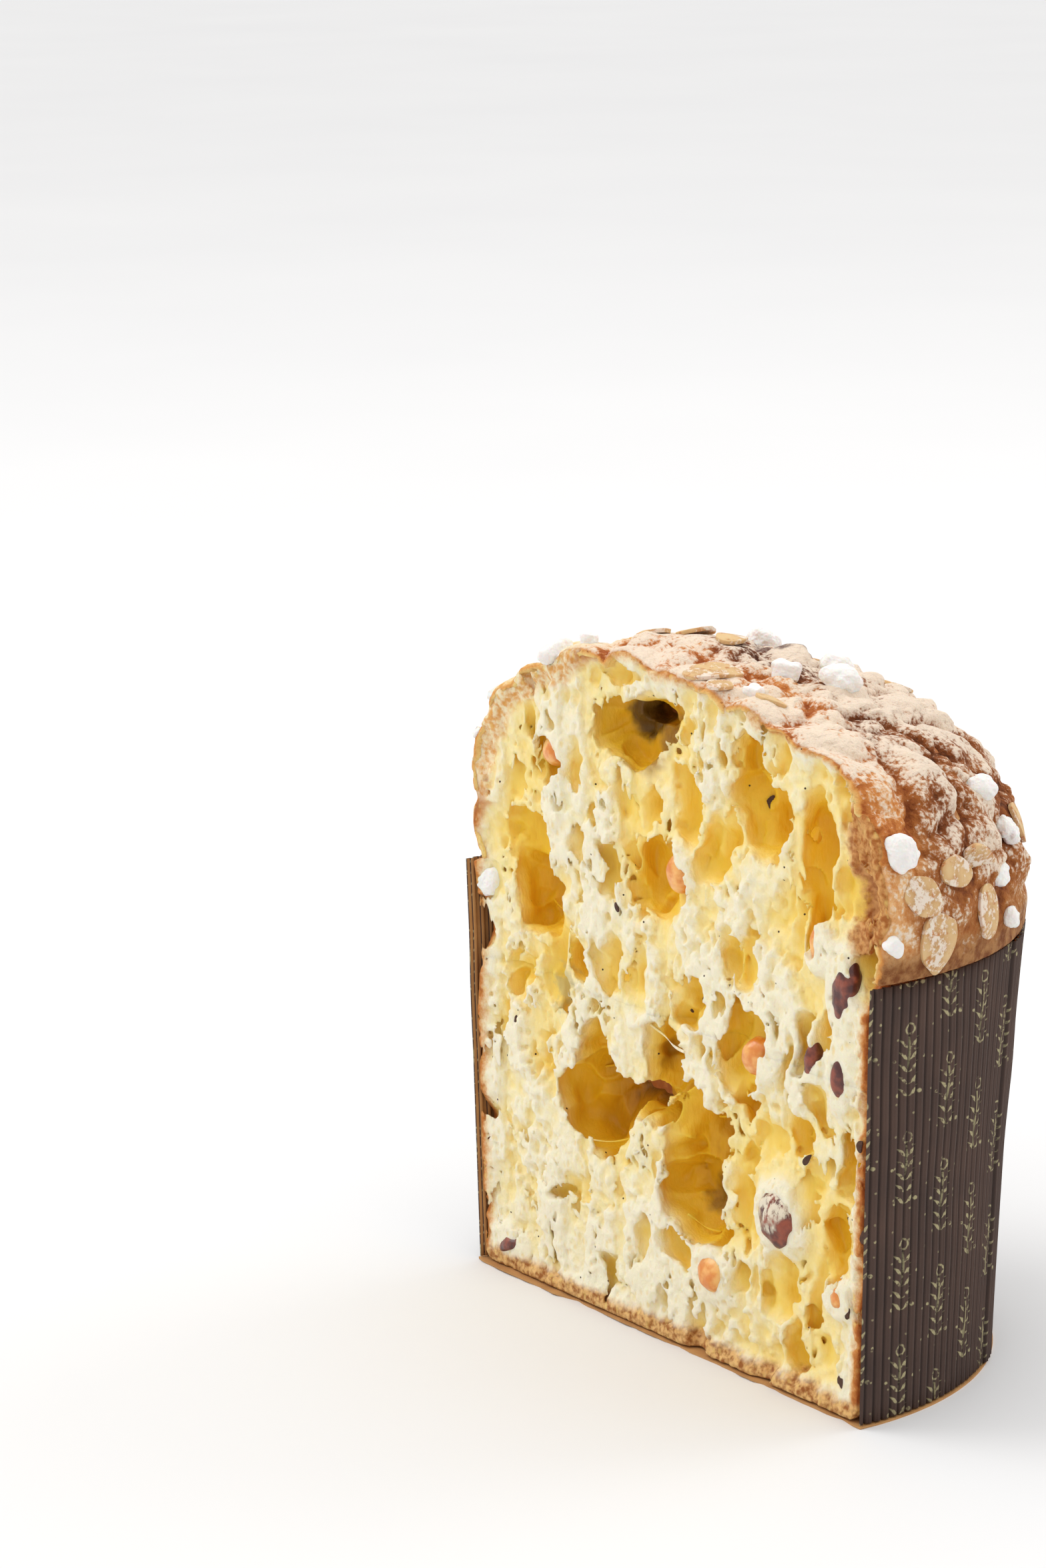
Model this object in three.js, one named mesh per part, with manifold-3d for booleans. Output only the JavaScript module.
// Half a panettone in its fluted paper baking case, standing on its base.
// Millimetres, +Z up. The origin is on the loaf's round axis, at the underside of the case.
// The knife's cut faces -Y and lies a little in front of the axis, so this is the larger half.

import * as THREE from 'three';
import { mergeVertices } from 'three/addons/utils/BufferGeometryUtils.js';
import Module from 'manifold-3d';

const wasm = await Module();
wasm.setup();

// The case: a high panettone case of 154 x 110 mm, its wall leaning out a little
const CUT_Y = -8;
const CASE_HEIGHT = 110;
const FOOT_RADIUS = 77.4;
const RIM_RADIUS = 80.6;
const RIM_BULGE = { reach: 4.2, turn: 55, spread: 65 };
const PAPER = 0.6;
const BASE_REACH = 0.7;
const FLUTES = 99;
const FLUTE_DEPTH = 0.8;
const SEAM_TURN = 34;
const SEAM_LAP = 7;
const FLAP_REACH = 1.6;
const GAP = 0.3;

// The dome: a rounded box of revolution with a swell towards the back left.
// Its widest ring lies higher at the cut than at the back.
const DOME_CENTRE = new THREE.Vector3(2.4, 0, 118);
const DOME_RADIUS = 83;
const DOME_TOP = 169.2;
const BULGE_AT_CUT = 126;
const BULGE_AT_BACK = 110;
const DOME_TUCK = 4;
const TUCK_SPAN = 16;
const SQUARE_AT_CUT = 3;
const SQUARE_AT_BACK = 2.7;
const SWELL = { height: 8.6, x: -27, y: 16, spread: 35 };

// The crust's crackle: pillows with creases between them
const PILLOW_COUNT = 200;
const PILLOW_SPACING = 20;
const PILLOW_HEIGHT = 3.2;
const PILLOW_SINK = 0.65;

// The crumb stands away from the paper at the left end, under the rim
const CRUMB_CLEARANCE = 0.9;
const LEFT_HOLLOW = { depth: 3, low: 70, high: 112, reach: 24 };
const BOTTOM_CHAMFER = 2.4;

// How finely the loaf's skin is split
const TURNS = 74;
const DOME_RINGS = 18;
const LARGE_HOLE = 60;
const HOLE_WOBBLE = 0.2;
const BASE_SEGMENTS = 20;

const COLOURS = {
  crumb: 0xf0d98a,
  paper: 0x3a2a26,
  kraft: 0xb98a52,
  raisin: 0x4a1c18,
  peel: 0xe58a2c,
  almond: 0xe8c793,
  sugar: 0xf6f4f0,
};

// Holes of the crumb that the knife opened: middle, half width, half height, depth, tilt.
// Holes of one cave overlap.
const HOLES = [
  { x: -11, z: 155.5, w: 18, h: 9.5, depth: 12, tilt: 25 },
  { x: -1, z: 162, w: 5.5, h: 3.4, depth: 23, tilt: -5 },
  { x: 38, z: 144, w: 11.5, h: 11, depth: 11, tilt: 0 },
  { x: 32.5, z: 154, w: 5.5, h: 8, depth: 8, tilt: 0 },
  { x: 57, z: 132, w: 6, h: 22, depth: 8, tilt: 0 },
  { x: -1, z: 119, w: 11, h: 11, depth: 9, tilt: -20 },
  { x: -54, z: 106, w: 10.5, h: 8.5, depth: 17, tilt: 20 },
  { x: -57, z: 119, w: 9.5, h: 8.5, depth: 7, tilt: 0 },
  { x: -25.5, z: 105.5, w: 2.8, h: 2.4, depth: 4, tilt: 10 },
  { x: -45, z: 95, w: 6.5, h: 18, depth: 4.5, tilt: -5 },
  { x: -61, z: 85, w: 6.5, h: 11, depth: 5, tilt: 0 },
  { x: -47, z: 141, w: 5, h: 7, depth: 8, tilt: 5 },
  { x: -37.5, z: 143, w: 4.2, h: 7.5, depth: 3.5, tilt: 0 },
  { x: -36, z: 122, w: 3, h: 5, depth: 3.5, tilt: 15 },
  { x: -27, z: 56, w: 15, h: 12, depth: 19, tilt: 0 },
  { x: -30, z: 69, w: 6, h: 7, depth: 12, tilt: 0 },
  { x: -11, z: 59, w: 11, h: 4.8, depth: 13, tilt: 10 },
  { x: 0, z: 72.5, w: 7.5, h: 10.5, depth: 15, tilt: 0 },
  { x: -3, z: 59, w: 4.5, h: 4, depth: 18, tilt: 20 },
  { x: 12, z: 51, w: 12, h: 16, depth: 17, tilt: 10 },
  { x: 12, z: 38, w: 13, h: 9.5, depth: 17, tilt: 10 },
  { x: 19, z: 44.5, w: 6.5, h: 6.5, depth: 25, tilt: 0 },
  { x: 30, z: 81, w: 8, h: 16, depth: 8, tilt: -8 },
  { x: 10, z: 91, w: 10, h: 6.5, depth: 5, tilt: 15 },
  { x: -9.5, z: 25, w: 4.5, h: 7.5, depth: 4.5, tilt: 0 },
  { x: 4.5, z: 23.5, w: 7, h: 4.5, depth: 4.5, tilt: 0 },
  { x: 45, z: 27, w: 7.5, h: 8.5, depth: 4.5, tilt: 0 },
  { x: 64, z: 39, w: 5.5, h: 11, depth: 7, tilt: 0 },
  { x: 54, z: 91, w: 3.8, h: 9, depth: 5, tilt: 0 },
  { x: -65.5, z: 25, w: 2.6, h: 7, depth: 3, tilt: 0 },
  { x: -45, z: 27, w: 5.5, h: 3, depth: 3, tilt: 8 },
  { x: -18, z: 171, w: 12, h: 3.2, depth: 9, tilt: 9 },
  { x: 73, z: 133.5, w: 6, h: 8, depth: 5, tilt: 0 },
];

// Fruit in the crumb: middle, half sizes, tilt in the plane of the cut
const RAISINS = [
  { x: 45, y: -5.6, z: 44, half: [7, 5, 8.3], tilt: 8 },
  { x: 69, y: -5.4, z: 106.5, half: [3.9, 3.6, 9.5], tilt: -8 },
  { x: 68.2, y: -5.8, z: 85.5, half: [3, 3.2, 7], tilt: 0 },
  { x: 57.2, y: -5.4, z: 86.5, half: [2.5, 3.4, 5.8], tilt: 0 },
  { x: -66, y: -5.6, z: 7, half: [6, 3.4, 2.9], tilt: 26 },
];
const PEELS = [
  { x: 4.5, y: -3.4, z: 122.5, half: [4, 4, 5.5], tilt: -12 },
  { x: 34.8, y: -4.2, z: 82.5, half: [4.3, 3.6, 5], tilt: -20 },
  { x: 19.6, y: -5.4, z: 23, half: [4.9, 4, 5.2], tilt: -30 },
  { x: -46.6, y: -3.6, z: 144.5, half: [3.9, 3.6, 4], tilt: 20 },
  { x: 59.6, y: -4.8, z: 115.5, half: [3.2, 3, 4.6], tilt: 15 },
  { x: 67.8, y: -5, z: 30, half: [3.4, 3.2, 3], tilt: 10 },
];

// Toppings as large as berries: turn and rise of the place on the dome, in degrees, sizes, twist,
// and how far a slice leans up on its edge
const LARGE_ALMONDS = [
  { turn: 4, rise: 80.5, length: 14, width: 9.5, twist: 60, lean: 0 },
  { turn: 139, rise: 59.5, length: 13, width: 9, twist: -70, lean: 16 },
  { turn: 117, rise: 66, length: 12, width: 8, twist: -50, lean: 0 },
  { turn: 157, rise: 60, length: 9, width: 6, twist: -90, lean: 0 },
  { turn: 2.6, rise: 9.2, length: 12.5, width: 9, twist: 60, lean: 0 },
  { turn: 6, rise: 0.8, length: 15, width: 11, twist: 12, lean: 0 },
  { turn: 19.8, rise: 3, length: 14, width: 9, twist: 25, lean: 0 },
  { turn: 10.8, rise: 12, length: 12, width: 7, twist: 84, lean: 0 },
  { turn: 18, rise: 12.6, length: 13, width: 6, twist: 86, lean: 42 },
  { turn: 44.5, rise: 12.5, length: 12, width: 8, twist: 80, lean: 0 },
  { turn: 96, rise: 30, length: 17, width: 10, twist: 40, lean: 0 },
  { turn: 140, rise: 22, length: 16, width: 10, twist: 95, lean: 0 },
  { turn: 168, rise: 40, length: 15, width: 9, twist: 15, lean: 0 },
];
const LARGE_SUGARS = [
  { turn: 43, rise: 54.5, half: [5.2, 4.2, 3.6], twist: 20 },
  { turn: 84, rise: 48.5, half: [4.4, 3.6, 3], twist: 70 },
  { turn: 29.4, rise: 22.4, half: [3.5, 3.1, 2.9], twist: 40 },
  { turn: -1.6, rise: 17, half: [4.6, 3.4, 3], twist: 20 },
  { turn: 33.5, rise: 14, half: [5.2, 2.4, 2.3], twist: 86 },
  { turn: 25.5, rise: 8.4, half: [3, 2.6, 2.4], twist: 0 },
  { turn: 27.5, rise: 0.8, half: [2.6, 2.3, 2.2], twist: 30 },
  { turn: 185, rise: 47, half: [4.8, 2.8, 2.4], twist: 85 },
  { turn: 120, rise: 44, half: [4.6, 3.8, 3.2], twist: 30 },
];
// One more nib fell between the paper and the crumb at the left end of the cut
const FALLEN_SUGAR = { x: -74.6, y: -4.6, z: 105, half: [3.1, 3, 4], tilt: -10 };

// Small nibs and flakes that are baked into the crust near the cut
const NEAR_TOPPINGS = [
  { turn: 5, rise: 66.5, twist: 20, size: 0.8, nib: true },
  { turn: 46, rise: 66, twist: 50, size: 1.2, nib: true },
  { turn: 184, rise: 57, twist: 30, size: 0.8, nib: true },
  { turn: 184, rise: 27, twist: 60, size: 0.7, nib: true },
  { turn: 184, rise: 18, twist: 10, size: 0.6, nib: true },
  { turn: -3.5, rise: 2.5, twist: 40, size: 0.7, nib: true },
  { turn: 0.5, rise: 59, twist: 40, size: 0.8, nib: false },
  { turn: -14, rise: 70.5, twist: 75, size: 0.65, nib: false },
];
// The others are spread over the back by a rule
const SMALL_NIBS = 7;
const SMALL_FLAKES = 8;
const BACK_TURNS = { from: 70, to: 180 };
const BACK_RISES = { from: 4, to: 62 };
const TOPPING_SPACING = 15;
const SCATTER_TRIES = 4000;

const ALMOND_THICKNESS = 1.5;
const ALMOND_LIFT = 1;
const ALMOND_SIDES = 12;
const FLAKE_SIDES = 6;

const radians = THREE.MathUtils.degToRad;

// Steady pseudo-random numbers from 0 to 1
function makeRandom(seed) {
  let state = seed;
  return () => {
    state = (state * 1664525 + 1013904223) % 4294967296;
    return state / 4294967296;
  };
}

// Slow waves over a direction, from about -1 to 1
function waves(p, seed) {
  const a = Math.sin(3.1 * p.x + 1.7 * p.z + 1.3 * seed);
  const b = Math.sin(2.6 * p.y - 2.9 * p.x + 2.1 * seed);
  const c = Math.sin(4.3 * p.z + 2.2 * p.y + 0.7 * seed);
  return (a + b + c) / 3;
}

function bareGeometry(geometry) {
  const bare = geometry.clone();
  bare.deleteAttribute('normal');
  bare.deleteAttribute('uv');
  return mergeVertices(bare, 1e-4);
}

function toSolid(geometry) {
  const bare = bareGeometry(geometry);
  return new wasm.Manifold(new wasm.Mesh({
    numProp: 3,
    vertProperties: new Float32Array(bare.attributes.position.array),
    triVerts: new Uint32Array(bare.index.array),
  }));
}

function toGeometry(solid) {
  const mesh = solid.getMesh();
  const geometry = new THREE.BufferGeometry();
  geometry.setAttribute('position', new THREE.BufferAttribute(new Float32Array(mesh.vertProperties), 3));
  geometry.setIndex(new THREE.BufferAttribute(new Uint32Array(mesh.triVerts), 1));
  geometry.computeVertexNormals();
  return geometry;
}

function makeMesh(name, geometry, colour, roughness) {
  const material = new THREE.MeshStandardMaterial({ color: colour, roughness, metalness: 0 });
  const mesh = new THREE.Mesh(geometry, material);
  mesh.name = name;
  return mesh;
}

// A closed skin from rings of points, with a pole at each end
function skinOfRings(rings, firstPole, lastPole) {
  const around = rings[0].length;
  const points = [firstPole, ...rings.flat(), lastPole];
  const index = [];
  const at = (ring, k) => 1 + ring * around + (k % around);
  for (let k = 0; k < around; k += 1) {
    index.push(0, at(0, k + 1), at(0, k));
    for (let ring = 0; ring + 1 < rings.length; ring += 1) {
      index.push(at(ring, k), at(ring, k + 1), at(ring + 1, k + 1));
      index.push(at(ring, k), at(ring + 1, k + 1), at(ring + 1, k));
    }
    index.push(points.length - 1, at(rings.length - 1, k), at(rings.length - 1, k + 1));
  }
  const geometry = new THREE.BufferGeometry().setFromPoints(points);
  geometry.setIndex(index);
  return geometry;
}

// The case wall leans out, and the risen loaf has pushed its rim out at the right
function wallRadius(turn, z) {
  const level = z / CASE_HEIGHT;
  const away = Math.abs(turn - radians(RIM_BULGE.turn)) / radians(RIM_BULGE.spread);
  const bulge = Math.cos((Math.min(away, 1) * Math.PI) / 2) ** 2;
  return THREE.MathUtils.lerp(FOOT_RADIUS, RIM_RADIUS, level) + RIM_BULGE.reach * bulge * level * level;
}

function backness(y) {
  return THREE.MathUtils.clamp((y - CUT_Y) / (DOME_RADIUS - CUT_Y), 0, 1);
}

// Height of the smooth dome over a place inside its widest ring
function domeHeight(x, y) {
  const off = Math.min(Math.hypot(x - DOME_CENTRE.x, y) / DOME_RADIUS, 1);
  const bulge = THREE.MathUtils.lerp(BULGE_AT_CUT, BULGE_AT_BACK, backness(y));
  const square = THREE.MathUtils.lerp(SQUARE_AT_CUT, SQUARE_AT_BACK, backness(y));
  const round = (DOME_TOP - bulge) * (1 - off ** square) ** (1 / square);
  const away = ((x - SWELL.x) ** 2 + (y - SWELL.y) ** 2) / (2 * SWELL.spread ** 2);
  return bulge + round + SWELL.height * Math.exp(-away) * (1 - off * off);
}

function insideDome(p) {
  const off = Math.hypot(p.x - DOME_CENTRE.x, p.y);
  const bulge = THREE.MathUtils.lerp(BULGE_AT_CUT, BULGE_AT_BACK, backness(p.y));
  if (p.z >= bulge) {
    return off < DOME_RADIUS && p.z < domeHeight(p.x, p.y);
  }
  const down = (bulge - p.z) / TUCK_SPAN;
  return off < DOME_RADIUS - DOME_TUCK * down * down;
}

function direction(turn, rise) {
  return new THREE.Vector3(
    Math.cos(turn) * Math.cos(rise),
    Math.sin(turn) * Math.cos(rise),
    Math.sin(rise),
  );
}

function domeReach(toward) {
  let near = 20;
  let far = 120;
  for (let step = 0; step < 26; step += 1) {
    const middle = (near + far) / 2;
    const probe = DOME_CENTRE.clone().addScaledVector(toward, middle);
    if (insideDome(probe)) near = middle;
    else far = middle;
  }
  return near;
}

// Middles of the crust's pillows, spread over the ball of directions by the golden angle
const pillows = [];
{
  const random = makeRandom(7);
  const golden = Math.PI * (3 - Math.sqrt(5));
  for (let k = 0; k < PILLOW_COUNT; k += 1) {
    const height = 1 - (2 * (k + 0.5)) / PILLOW_COUNT;
    const turn = k * golden + 0.3 * random();
    const pillow = direction(turn, Math.asin(height));
    pillows.push({ toward: pillow, height: 0.6 + 0.4 * random() });
  }
}

function pillowHeight(toward, reach) {
  let best = Infinity;
  let second = Infinity;
  let height = 1;
  for (const pillow of pillows) {
    const away = reach * pillow.toward.angleTo(toward);
    if (away < best) {
      second = best;
      best = away;
      height = pillow.height;
    } else if (away < second) {
      second = away;
    }
  }
  const crease = Math.min((second - best) / (0.8 * PILLOW_SPACING), 1);
  return PILLOW_HEIGHT * height * (crease * (2 - crease) - PILLOW_SINK);
}

// The crust lies flat under a large almond slice
function flatness(toward, reach) {
  return LARGE_ALMONDS.reduce((least, spot) => {
    const away = reach * direction(radians(spot.turn), radians(spot.rise)).angleTo(toward);
    return Math.min(least, THREE.MathUtils.smoothstep(away, 0.45 * spot.length, 0.8 * spot.length));
  }, 1);
}

// The crackle fades out where the crust meets the rim of the case
function domePoint(turn, rise) {
  const toward = direction(turn, rise);
  const reach = domeReach(toward);
  const fade = THREE.MathUtils.smoothstep(rise, radians(-5), radians(3)) * flatness(toward, reach);
  return DOME_CENTRE.clone().addScaledVector(toward, reach + fade * pillowHeight(toward, reach));
}

function domeNormal(turn, rise) {
  const step = 0.08;
  const side = domePoint(turn + step, rise).sub(domePoint(turn - step, rise));
  const up = domePoint(turn, rise + step).sub(domePoint(turn, rise - step));
  return side.cross(up).normalize();
}

// Below the rim the crumb follows the paper, and draws back from it at the left end
function crumbRadius(turn, z) {
  const leftness = Math.abs(Math.atan2(Math.sin(turn - Math.PI), Math.cos(turn - Math.PI)));
  const near = Math.max(0, 1 - (leftness * RIM_RADIUS) / LEFT_HOLLOW.reach);
  const middle = (LEFT_HOLLOW.low + LEFT_HOLLOW.high) / 2;
  const span = (LEFT_HOLLOW.high - LEFT_HOLLOW.low) / 2;
  const level = Math.max(0, 1 - ((z - middle) / span) ** 2);
  const paper = wallRadius(turn, z) - PAPER - FLUTE_DEPTH / 2;
  return paper - CRUMB_CLEARANCE - LEFT_HOLLOW.depth * near * level;
}

function wholeLoaf() {
  const floor = PAPER + GAP;
  const levels = [floor, floor + BOTTOM_CHAMFER, 70, 91, CASE_HEIGHT + GAP];
  const turnOf = (k) => (2 * Math.PI * (k + 0.5)) / TURNS;
  const ringAt = (pointAt) => Array.from({ length: TURNS }, (_, k) => pointAt(turnOf(k)));
  const rings = levels.map((z, level) => ringAt((turn) => {
    const radius = crumbRadius(turn, z) - (level === 0 ? BOTTOM_CHAMFER : 0);
    return new THREE.Vector3(radius * Math.cos(turn), radius * Math.sin(turn), z);
  }));
  const lowest = radians(-4.6);
  for (let ring = 0; ring < DOME_RINGS; ring += 1) {
    const rise = THREE.MathUtils.lerp(lowest, Math.PI / 2, ring / DOME_RINGS);
    rings.push(ringAt((turn) => domePoint(turn, rise)));
  }
  return skinOfRings(rings, new THREE.Vector3(0, 0, floor), domePoint(0, Math.PI / 2));
}

// A lumpy piece between a ball (edge 2) and a box (edge 4 or more)
function nugget(half, detail, edge, wobble, seed) {
  const geometry = bareGeometry(new THREE.IcosahedronGeometry(1, detail));
  const place = geometry.attributes.position;
  const p = new THREE.Vector3();
  for (let k = 0; k < place.count; k += 1) {
    p.fromBufferAttribute(place, k).normalize();
    const power = Math.abs(p.x) ** edge + Math.abs(p.y) ** edge + Math.abs(p.z) ** edge;
    const radius = power ** (-1 / edge) * (1 + wobble * waves(p, seed));
    place.setXYZ(k, p.x * radius * half[0], p.y * radius * half[1], p.z * radius * half[2]);
  }
  geometry.computeVertexNormals();
  return geometry;
}

// An almond slice: an oval leaf, blunt at one end and pointed at the other, slightly cupped
function almondLeaf(length, width, thickness, sides) {
  const geometry = bareGeometry(new THREE.CylinderGeometry(1, 1, 1, sides, 1));
  geometry.rotateX(Math.PI / 2);
  const place = geometry.attributes.position;
  for (let k = 0; k < place.count; k += 1) {
    const x = place.getX(k);
    const y = place.getY(k);
    const narrow = 1 - 0.28 * x;
    const cup = -0.07 * length * (x * x + 0.6 * y * y);
    place.setXYZ(k, (x * length) / 2, (y * narrow * width) / 2, place.getZ(k) * thickness + cup);
  }
  geometry.computeVertexNormals();
  return geometry;
}

// Lays a piece on the dome: its own +Z becomes the crust's normal
function layOnDome(object, spot, lift) {
  const turn = radians(spot.turn);
  const rise = radians(spot.rise);
  const normal = domeNormal(turn, rise);
  object.position.copy(domePoint(turn, rise)).addScaledVector(normal, lift);
  object.quaternion.setFromUnitVectors(new THREE.Vector3(0, 0, 1), normal);
  object.rotateZ(radians(spot.twist));
  object.rotateX(radians(spot.lean ?? 0));
  object.updateMatrixWorld(true);
}

function setInCrumb(object, spot) {
  object.position.set(spot.x, spot.y, spot.z);
  object.rotation.y = -radians(spot.tilt);
  object.updateMatrixWorld(true);
}

const grown = (half) => half.map((size) => size + GAP);

function socketOf(mesh, geometry) {
  return toSolid(geometry.clone().applyMatrix4(mesh.matrixWorld));
}

const sockets = [];

function fruit(name, spot, colour, edge, seed) {
  const shape = (half) => nugget(half, 1, edge, 0.12, seed);
  const mesh = makeMesh(name, shape(spot.half), colour, 0.45);
  setInCrumb(mesh, spot);
  sockets.push(socketOf(mesh, shape(grown(spot.half))));
  return mesh;
}

function largeAlmond(spot, k) {
  const leaf = (extra) => almondLeaf(
    spot.length + extra,
    spot.width + extra,
    ALMOND_THICKNESS + extra,
    ALMOND_SIDES,
  );
  const mesh = makeMesh(`almond_${k + 1}`, leaf(0), COLOURS.almond, 0.6);
  layOnDome(mesh, spot, ALMOND_LIFT);
  sockets.push(socketOf(mesh, leaf(2 * GAP)));
  return mesh;
}

function largeSugar(spot, k) {
  const shape = (half) => nugget(half, 1, 3.4, 0.1, 31 + k);
  const mesh = makeMesh(`sugar_${k + 1}`, shape(spot.half), COLOURS.sugar, 0.5);
  layOnDome(mesh, spot, 0.45 * spot.half[2]);
  sockets.push(socketOf(mesh, shape(grown(spot.half))));
  return mesh;
}

function fallenSugar() {
  const shape = (half) => nugget(half, 1, 3.4, 0.1, 61);
  const mesh = makeMesh(`sugar_${LARGE_SUGARS.length + 1}`, shape(FALLEN_SUGAR.half), COLOURS.sugar, 0.5);
  setInCrumb(mesh, FALLEN_SUGAR);
  sockets.push(socketOf(mesh, shape(grown(FALLEN_SUGAR.half))));
  return mesh;
}

// Small nibs and flakes at the back keep clear of each other and of the large toppings
function backToppings() {
  const random = makeRandom(23);
  const taken = [...LARGE_ALMONDS, ...LARGE_SUGARS].map((spot) => (
    domePoint(radians(spot.turn), radians(spot.rise))));
  const low = Math.sin(radians(BACK_RISES.from));
  const high = Math.sin(radians(BACK_RISES.to));
  const spots = [];
  for (let tries = 0; tries < SCATTER_TRIES && spots.length < SMALL_NIBS + SMALL_FLAKES; tries += 1) {
    const rise = THREE.MathUtils.radToDeg(Math.asin(THREE.MathUtils.lerp(low, high, random())));
    const turn = THREE.MathUtils.lerp(BACK_TURNS.from, BACK_TURNS.to, random());
    const twist = 360 * random();
    const size = 0.8 + 0.4 * random();
    const place = domePoint(radians(turn), radians(rise));
    if (taken.every((other) => other.distanceTo(place) > TOPPING_SPACING)) {
      taken.push(place);
      const nib = spots.length % 2 === 0 && spots.length < 2 * SMALL_NIBS;
      spots.push({ turn, rise, twist, size, nib });
    }
  }
  return spots;
}

function smallTopping(spot, k) {
  const { size, nib } = spot;
  const geometry = nib
    ? nugget([3.2 * size, 2.6 * size, 2.3 * size], 0, 3, 0.15, k)
    : almondLeaf(11 * size, 7 * size, 1.4, FLAKE_SIDES);
  const holder = new THREE.Object3D();
  layOnDome(holder, spot, nib ? 1.1 : 0.7);
  return toSolid(geometry.applyMatrix4(holder.matrixWorld));
}

function holeSolid(hole, k) {
  const detail = hole.w * hole.h > LARGE_HOLE ? 2 : 1;
  const geometry = nugget([hole.w, hole.depth, hole.h], detail, 2.2, HOLE_WOBBLE, k);
  const holder = new THREE.Object3D();
  setInCrumb(holder, { x: hole.x, y: CUT_Y, z: hole.z, tilt: hole.tilt });
  return toSolid(geometry.applyMatrix4(holder.matrixWorld));
}

function frontBlock() {
  const size = 400;
  const block = new THREE.BoxGeometry(size, size, size);
  block.translate(0, CUT_Y - size / 2, size / 4);
  return toSolid(block);
}

function largestBody(solid) {
  const bodies = solid.decompose();
  return bodies.reduce((a, b) => (a.volume() > b.volume() ? a : b));
}

function loaf() {
  let solid = toSolid(wholeLoaf());
  for (const piece of [...NEAR_TOPPINGS, ...backToppings()].map(smallTopping)) {
    solid = solid.add(piece);
  }
  solid = solid.subtract(frontBlock());
  HOLES.forEach((hole, k) => {
    solid = solid.subtract(holeSolid(hole, k));
  });
  for (const socket of sockets) solid = solid.subtract(socket);
  return makeMesh('loaf', toGeometry(largestBody(solid)), COLOURS.crumb, 0.75);
}

// The fluted band of the case, from one cut end round the back to the other
function caseWall() {
  const steps = 2 * FLUTES;
  const levels = [PAPER + GAP, CASE_HEIGHT];
  const point = (step, z, inward) => {
    const start = Math.asin(CUT_Y / wallRadius(0, z));
    const turn = start + (step / steps) * (Math.PI - 2 * start);
    const radius = wallRadius(turn, z);
    const flute = (step % 2 === 0 ? 0.5 : -0.5) * FLUTE_DEPTH;
    const lap = THREE.MathUtils.radToDeg(turn) - SEAM_TURN;
    const raised = lap > 0 && lap < SEAM_LAP ? PAPER : 0;
    const reach = radius + flute + raised - (inward ? PAPER + raised : 0);
    return new THREE.Vector3(reach * Math.cos(turn), reach * Math.sin(turn), z);
  };
  const points = [];
  for (let step = 0; step <= steps; step += 1) {
    points.push(point(step, levels[0], false), point(step, levels[1], false));
    points.push(point(step, levels[1], true), point(step, levels[0], true));
  }
  const index = [];
  for (let step = 0; step < steps; step += 1) {
    for (let side = 0; side < 4; side += 1) {
      const a = 4 * step + side;
      const b = 4 * step + ((side + 1) % 4);
      index.push(a, a + 4, b + 4, a, b + 4, b);
    }
  }
  const last = 4 * steps;
  index.push(0, 1, 2, 0, 2, 3);
  index.push(last, last + 2, last + 1, last, last + 3, last + 2);
  const geometry = new THREE.BufferGeometry().setFromPoints(points);
  geometry.setIndex(index);
  geometry.computeVertexNormals();
  return makeMesh('case_wall', geometry, COLOURS.paper, 0.8);
}

// The base is a flat disc of kraft paper, cut with the loaf, its left front edge torn proud
function caseBase() {
  const radius = FOOT_RADIUS + BASE_REACH;
  const start = Math.asin(CUT_Y / radius);
  const half = radius * Math.cos(start);
  const shape = new THREE.Shape();
  shape.absarc(0, 0, radius, start, Math.PI - start, false);
  shape.lineTo(0.9 * -half, CUT_Y - FLAP_REACH);
  shape.lineTo(0.55 * -half, CUT_Y - FLAP_REACH);
  shape.lineTo(0.42 * -half, CUT_Y);
  const geometry = new THREE.ExtrudeGeometry(shape, { depth: PAPER, bevelEnabled: false, curveSegments: BASE_SEGMENTS });
  return makeMesh('case_base', geometry, COLOURS.kraft, 0.85);
}

const fruits = new THREE.Group();
RAISINS.forEach((spot, k) => fruits.add(fruit(`raisin_${k + 1}`, spot, COLOURS.raisin, 2.3, k + 11)));
PEELS.forEach((spot, k) => fruits.add(fruit(`peel_${k + 1}`, spot, COLOURS.peel, 3.2, k + 21)));

const toppings = new THREE.Group();
LARGE_ALMONDS.forEach((spot, k) => toppings.add(largeAlmond(spot, k)));
LARGE_SUGARS.forEach((spot, k) => toppings.add(largeSugar(spot, k)));
toppings.add(fallenSugar());

const paperCase = new THREE.Group();
paperCase.add(caseWall(), caseBase());

const panettone = new THREE.Group();
panettone.add(loaf(), fruits, toppings, paperCase);

export default panettone;
